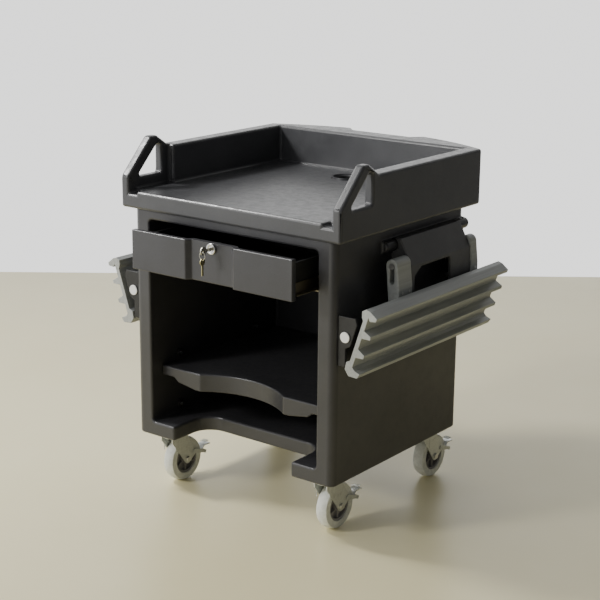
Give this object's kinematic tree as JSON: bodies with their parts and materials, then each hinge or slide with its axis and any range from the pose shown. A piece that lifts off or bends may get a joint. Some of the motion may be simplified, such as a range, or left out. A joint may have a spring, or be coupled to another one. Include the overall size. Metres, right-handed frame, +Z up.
{
  "type": "mobile counter cart",
  "caption": "Moulded dark grey cabinet cart on swivel casters, with a walled worktop, a lockable drawer, a scooped shelf and folding side tray rails.",
  "frame": {"origin": "on the floor, under the middle of the whole object's box", "axes": "+Z up, the open front and the drawer face -Y, +X to the right seen from the front"},
  "size_m": [0.9014, 0.8248, 0.979],
  "materials": {
    "body_plastic": "satin moulded polyethylene",
    "tray_plastic": "satin moulded polyethylene, finely textured deck",
    "panel_plastic": "satin moulded plastic",
    "box_plastic": "matt black plastic",
    "black_plastic": "matt black plastic",
    "white_nylon": "white nylon",
    "steel_fastener": "zinc plated steel",
    "yellow_zinc": "yellow zinc plated steel",
    "lock_chrome": "polished chrome",
    "key_nickel": "nickel plated",
    "key_brass": "worn brass",
    "bracket_black": "satin black moulded plastic",
    "pin_steel": "steel with black cap",
    "rail_grey": "matt grey extruded plastic",
    "zinc_plate": "bright zinc plated steel",
    "tyre_grey": "non-marking grey rubber",
    "hub_grey": "dark grey moulded nylon"
  },
  "bodies": {
    "cart": {"body_shell": "body_plastic", "shelf": "body_plastic", "shelf_ledges": "body_plastic", "top_tray": "tray_plastic", "cable_grommet": "black_plastic", "shelf_studs": "black_plastic", "rail_rests": "black_plastic", "rail_rest_caps": "white_nylon", "tray_screws": "steel_fastener", "shelf_stud_screws": "steel_fastener", "wing_bracket_bolts": "steel_fastener", "caster_plate_bolts": "steel_fastener", "drawer_rail_left": "yellow_zinc", "drawer_rail_right": "yellow_zinc", "wing_bracket_left": "bracket_black", "wing_bracket_right": "bracket_black", "caster_plates": "zinc_plate", "caster_kingpins": "zinc_plate"},
    "drawer": {"drawer_front": "panel_plastic", "drawer_box": "box_plastic", "drawer_slide_left": "yellow_zinc", "drawer_slide_right": "yellow_zinc", "drawer_front_screws": "steel_fastener", "lock_housing": "lock_chrome", "lock_nut": "key_nickel"},
    "lock": {"lock_plug": "lock_chrome", "lock_cam": "key_nickel", "lock_key": "key_nickel"},
    "spare": {"key_ring": "key_nickel", "spare_key": "key_brass"},
    "pins_left": {"pivot_pins_left": "pin_steel"},
    "rail_left": {"tray_rail_left": "rail_grey", "rail_arms_left": "rail_grey", "rail_arm_screws_left": "steel_fastener"},
    "pins_right": {"pivot_pins_right": "pin_steel"},
    "rail_right": {"tray_rail_right": "rail_grey", "rail_arms_right": "rail_grey", "rail_arm_screws_right": "steel_fastener"},
    "caster_front_left": {"fork_front_left": "zinc_plate", "axle_front_left": "steel_fastener"},
    "wheel_front_left": {"tyre_front_left": "tyre_grey", "hub_front_left": "hub_grey"},
    "brake_front_left": {"pedal_front_left": "zinc_plate"},
    "caster_front_right": {"fork_front_right": "zinc_plate", "axle_front_right": "steel_fastener"},
    "wheel_front_right": {"tyre_front_right": "tyre_grey", "hub_front_right": "hub_grey"},
    "brake_front_right": {"pedal_front_right": "zinc_plate"},
    "caster_back_left": {"fork_back_left": "zinc_plate", "axle_back_left": "steel_fastener"},
    "wheel_back_left": {"tyre_back_left": "tyre_grey", "hub_back_left": "hub_grey"},
    "brake_back_left": {"pedal_back_left": "zinc_plate"},
    "caster_back_right": {"fork_back_right": "zinc_plate", "axle_back_right": "steel_fastener"},
    "wheel_back_right": {"tyre_back_right": "tyre_grey", "hub_back_right": "hub_grey"},
    "brake_back_right": {"pedal_back_right": "zinc_plate"}
  },
  "joints": [
    {"name": "drawer_slide", "type": "slide", "parent": "cart", "child": "drawer", "axis": [0, -1, 0], "range_m": [-0.082, 0.2]},
    {"name": "key_turn", "type": "hinge", "parent": "drawer", "child": "lock", "pos_m": [0, -0.367, 0.745], "axis": [0, -1, 0], "range_deg": [0, 90]},
    {"name": "spare_key_swing", "type": "hinge", "parent": "lock", "child": "spare", "pos_m": [0, -0.403, 0.7421], "axis": [1, 0, 0], "range_deg": [-25, 25]},
    {"name": "rail_left_swing", "type": "hinge", "parent": "cart", "child": "pins_left", "pos_m": [-0.381, 0, 0.711], "axis": [0, 1, 0], "range_deg": [0, 108.6]},
    {"name": "rail_left_lift", "type": "slide", "parent": "pins_left", "child": "rail_left", "axis": [0, 0, 1], "range_m": [0, 0.024]},
    {"name": "rail_right_swing", "type": "hinge", "parent": "cart", "child": "pins_right", "pos_m": [0.381, 0, 0.711], "axis": [0, -1, 0], "range_deg": [0, 108.6]},
    {"name": "rail_right_lift", "type": "slide", "parent": "pins_right", "child": "rail_right", "axis": [0, 0, 1], "range_m": [0, 0.024]},
    {"name": "swivel_front_left", "type": "hinge", "parent": "cart", "child": "caster_front_left", "pos_m": [-0.268, -0.23, 0.15], "axis": [0, 0, 1], "continuous": true},
    {"name": "roll_front_left", "type": "hinge", "parent": "caster_front_left", "child": "wheel_front_left", "pos_m": [-0.268, -0.192, 0.0635], "axis": [1, 0, 0], "continuous": true},
    {"name": "brake_front_left_press", "type": "hinge", "parent": "caster_front_left", "child": "brake_front_left", "pos_m": [-0.268, -0.164, 0.08], "axis": [-1, 0, 0], "range_deg": [0, 10]},
    {"name": "swivel_front_right", "type": "hinge", "parent": "cart", "child": "caster_front_right", "pos_m": [0.268, -0.23, 0.15], "axis": [0, 0, 1], "continuous": true},
    {"name": "roll_front_right", "type": "hinge", "parent": "caster_front_right", "child": "wheel_front_right", "pos_m": [0.268, -0.192, 0.0635], "axis": [1, 0, 0], "continuous": true},
    {"name": "brake_front_right_press", "type": "hinge", "parent": "caster_front_right", "child": "brake_front_right", "pos_m": [0.268, -0.164, 0.08], "axis": [-1, 0, 0], "range_deg": [0, 10]},
    {"name": "swivel_back_left", "type": "hinge", "parent": "cart", "child": "caster_back_left", "pos_m": [-0.268, 0.23, 0.15], "axis": [0, 0, 1], "continuous": true},
    {"name": "roll_back_left", "type": "hinge", "parent": "caster_back_left", "child": "wheel_back_left", "pos_m": [-0.268, 0.268, 0.0635], "axis": [1, 0, 0], "continuous": true},
    {"name": "brake_back_left_press", "type": "hinge", "parent": "caster_back_left", "child": "brake_back_left", "pos_m": [-0.268, 0.296, 0.08], "axis": [-1, 0, 0], "range_deg": [0, 10]},
    {"name": "swivel_back_right", "type": "hinge", "parent": "cart", "child": "caster_back_right", "pos_m": [0.268, 0.23, 0.15], "axis": [0, 0, 1], "continuous": true},
    {"name": "roll_back_right", "type": "hinge", "parent": "caster_back_right", "child": "wheel_back_right", "pos_m": [0.268, 0.268, 0.0635], "axis": [1, 0, 0], "continuous": true},
    {"name": "brake_back_right_press", "type": "hinge", "parent": "caster_back_right", "child": "brake_back_right", "pos_m": [0.268, 0.296, 0.08], "axis": [-1, 0, 0], "range_deg": [0, 10]}
  ]
}
